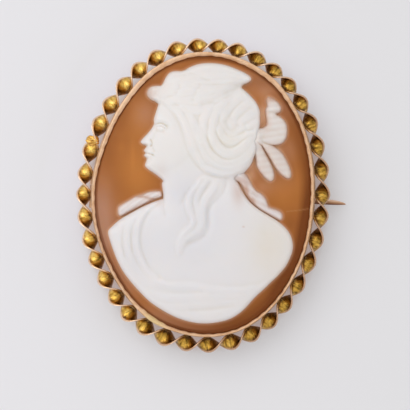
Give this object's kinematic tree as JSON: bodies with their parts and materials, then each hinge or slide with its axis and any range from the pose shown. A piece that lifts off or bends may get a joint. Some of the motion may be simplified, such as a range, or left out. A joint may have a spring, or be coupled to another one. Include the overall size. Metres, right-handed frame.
{
  "type": "cameo brooch",
  "caption": "Oval shell cameo brooch lying on its back: white relief bust on a brown domed ground, gold collet, twisted ribbon border, hinged pin stem and hook catch.",
  "frame": {"origin": "middle of the bounding box on the surface that the brooch lies on, under its back", "axes": "+Z out of the carved face, +Y towards the top of the bust, +X towards the pin's point"},
  "size_m": [0.0462, 0.0536, 0.011],
  "materials": {
    "gold": "polished rose gold edges, tarnished yellow gold hollows",
    "brown_shell": "polished translucent orange-brown shell",
    "white_shell": "softly polished white shell, tinted where it is thin",
    "pin_gold": "satin rose gold"
  },
  "bodies": {
    "root": {"gold_mount": "gold", "shell_ground": "brown_shell", "shell_relief": "white_shell", "pin_stem": "pin_gold"}
  },
  "joints": []
}
